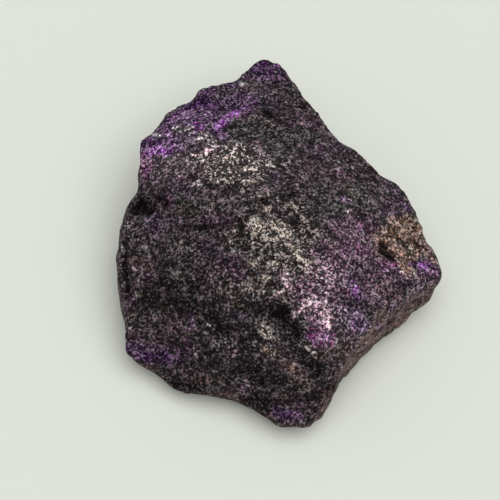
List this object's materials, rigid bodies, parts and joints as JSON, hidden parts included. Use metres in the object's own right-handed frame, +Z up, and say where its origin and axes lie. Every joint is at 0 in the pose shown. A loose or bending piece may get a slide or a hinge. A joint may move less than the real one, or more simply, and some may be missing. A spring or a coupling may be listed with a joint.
{
  "type": "rough purple mineral stone",
  "caption": "Irregular broken lump of rough purple sugilite rock that rests on a small flat spot; a specimen, filler or raw stone for display.",
  "frame": {"origin": "under the middle of the stone's box, on the plane of the flat spot it rests on", "axes": "+Z up out of the rest plane, through the crown of the broken top; +Y along the stone's length towards its pointed peak, away from the viewer; +X to the viewer's right"},
  "size_m": [0.0708, 0.084, 0.029],
  "materials": {
    "rock": "rough broken surface, dull with small glints; near black matrix mottled violet, magenta, cream and brown"
  },
  "bodies": {
    "root": {"rough_sugilite": "rock"}
  },
  "joints": []
}
